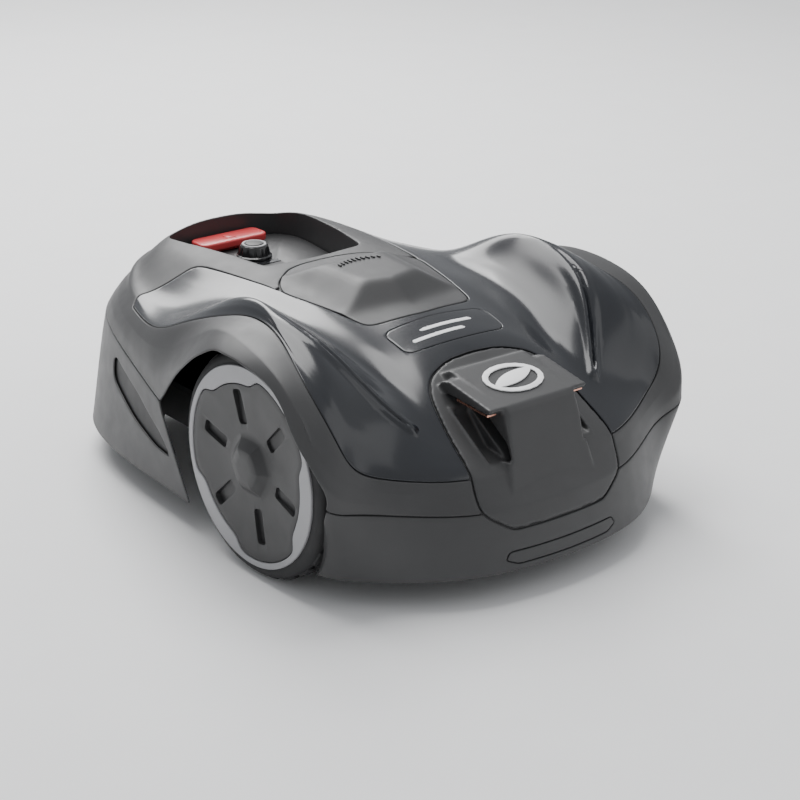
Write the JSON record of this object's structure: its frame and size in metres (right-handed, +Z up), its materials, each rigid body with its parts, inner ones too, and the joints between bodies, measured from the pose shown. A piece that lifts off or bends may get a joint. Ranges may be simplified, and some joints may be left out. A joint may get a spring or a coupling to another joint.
{
  "type": "robotic lawn mower",
  "caption": "Low wheeled robotic lawn mower with glossy top cover, floating outer shell, geared drive wheels, rear casters, stop button and height-adjustable cutting disc with pivoting blades.",
  "frame": {"origin": "on the ground under the middle of the machine's length and width", "axes": "+Z up, nose towards -Y, the machine's own right side towards -X"},
  "size_m": [0.524, 0.685, 0.273],
  "materials": {
    "shell_matte": "fine grained dark grey",
    "cover_gloss": "polished slate grey",
    "trim_dark": "near black, fine grained",
    "cap_grey": "satin dark grey",
    "ring_silver": "satin silver grey",
    "tyre_rubber": "matte black rubber",
    "mount_rubber": "matte black rubber",
    "stop_red": "satin red",
    "emblem_white": "satin white",
    "contact_copper": "brushed copper-coloured contact",
    "steel": "machined",
    "board_green": "solder mask",
    "window_glass": "polished black",
    "case_plastic": "satin"
  },
  "bodies": {
    "chassis": {"chassis_tub": "trim_dark", "chassis_lid": "trim_dark", "console_panel": "shell_matte", "status_window": "window_glass", "battery_pack": "case_plastic", "main_board": "board_green", "radar_sensor": "trim_dark", "gear_motor_right": "trim_dark", "shell_mount_front_right": "mount_rubber", "shell_mount_rear_right": "mount_rubber", "gear_motor_left": "trim_dark", "shell_mount_front_left": "mount_rubber", "shell_mount_rear_left": "mount_rubber"},
    "shell": {"body_shell": "shell_matte", "top_cover": "cover_gloss", "badge_plate": "cover_gloss", "hatch": "shell_matte", "nose_cover": "shell_matte", "nose_emblem": "emblem_white", "front_bumper": "shell_matte", "bumper_lip": "shell_matte", "tail_cover": "shell_matte", "tail_scoop_right": "trim_dark", "charging_strip_right": "contact_copper", "tail_scoop_left": "trim_dark", "charging_strip_left": "contact_copper"},
    "wheel_right": {"tyre_right": "tyre_rubber", "wheel_ring_right": "ring_silver", "wheel_cap_right": "cap_grey", "drive_axle_right": "steel"},
    "wheel_left": {"tyre_left": "tyre_rubber", "wheel_ring_left": "ring_silver", "wheel_cap_left": "cap_grey", "drive_axle_left": "steel"},
    "stop_button": {"stop_button": "stop_red"},
    "dial": {"dial_skirt": "trim_dark"},
    "dial_button": {"dial_button": "ring_silver"},
    "cut_carriage": {"cut_carriage": "trim_dark", "cut_motor": "steel"},
    "cut_disc": {"cut_disc": "steel", "blade_screw_1": "steel", "blade_screw_2": "steel", "blade_screw_3": "steel"},
    "blade_1": {"blade_1": "steel"},
    "blade_2": {"blade_2": "steel"},
    "blade_3": {"blade_3": "steel"},
    "skid_plate": {"skid_plate": "trim_dark"},
    "caster_fork_right": {"caster_fork_right": "trim_dark", "caster_pin_right": "steel"},
    "caster_wheel_right": {"caster_wheel_right": "tyre_rubber"},
    "caster_fork_left": {"caster_fork_left": "trim_dark", "caster_pin_left": "steel"},
    "caster_wheel_left": {"caster_wheel_left": "tyre_rubber"}
  },
  "joints": [
    {"name": "shell_lift", "type": "slide", "parent": "chassis", "child": "shell", "axis": [0, 0, 1], "range_m": [0, 0.008], "stiffness_N_per_m": 400, "springref_m": -0.03},
    {"name": "drive_spin_right", "type": "hinge", "parent": "chassis", "child": "wheel_right", "pos_m": [-0.22, -0.1275, 0.1215], "axis": [1, 0, 0], "continuous": true},
    {"name": "drive_spin_left", "type": "hinge", "parent": "chassis", "child": "wheel_left", "pos_m": [0.22, -0.1275, 0.1215], "axis": [1, 0, 0], "continuous": true},
    {"name": "stop_press", "type": "slide", "parent": "chassis", "child": "stop_button", "axis": [0, 0, -1], "range_m": [0, 0.003], "stiffness_N_per_m": 900, "springref_m": -0.001},
    {"name": "dial_turn", "type": "hinge", "parent": "chassis", "child": "dial", "pos_m": [0, 0.209, 0.215], "axis": [0, 0, 1], "continuous": true},
    {"name": "dial_press", "type": "slide", "parent": "chassis", "child": "dial_button", "axis": [0, 0, -1], "range_m": [0, 0.0012], "stiffness_N_per_m": 600, "springref_m": -0.001},
    {"name": "height_slide", "type": "slide", "parent": "chassis", "child": "cut_carriage", "axis": [0, 0, 1], "range_m": [0, 0.036]},
    {"name": "disc_spin", "type": "hinge", "parent": "cut_carriage", "child": "cut_disc", "pos_m": [0, 0.04, 0.04], "axis": [0, 0, 1], "continuous": true},
    {"name": "blade_pivot_1", "type": "hinge", "parent": "cut_disc", "child": "blade_1", "pos_m": [0.08141, 0.087, 0.029], "axis": [0, 0, 1], "continuous": true},
    {"name": "blade_pivot_2", "type": "hinge", "parent": "cut_disc", "child": "blade_2", "pos_m": [-0.08141, 0.087, 0.029], "axis": [0, 0, 1], "continuous": true},
    {"name": "blade_pivot_3", "type": "hinge", "parent": "cut_disc", "child": "blade_3", "pos_m": [0, -0.054, 0.029], "axis": [0, 0, 1], "continuous": true},
    {"name": "skid_spin", "type": "hinge", "parent": "cut_disc", "child": "skid_plate", "pos_m": [0, 0.04, 0.02], "axis": [0, 0, 1], "continuous": true},
    {"name": "caster_swivel_right", "type": "hinge", "parent": "chassis", "child": "caster_fork_right", "pos_m": [-0.122, 0.252, 0.08], "axis": [0, 0, 1], "continuous": true},
    {"name": "caster_spin_right", "type": "hinge", "parent": "caster_fork_right", "child": "caster_wheel_right", "pos_m": [-0.122, 0.268, 0.032], "axis": [1, 0, 0], "continuous": true},
    {"name": "caster_swivel_left", "type": "hinge", "parent": "chassis", "child": "caster_fork_left", "pos_m": [0.122, 0.252, 0.08], "axis": [0, 0, 1], "continuous": true},
    {"name": "caster_spin_left", "type": "hinge", "parent": "caster_fork_left", "child": "caster_wheel_left", "pos_m": [0.122, 0.268, 0.032], "axis": [1, 0, 0], "continuous": true}
  ]
}
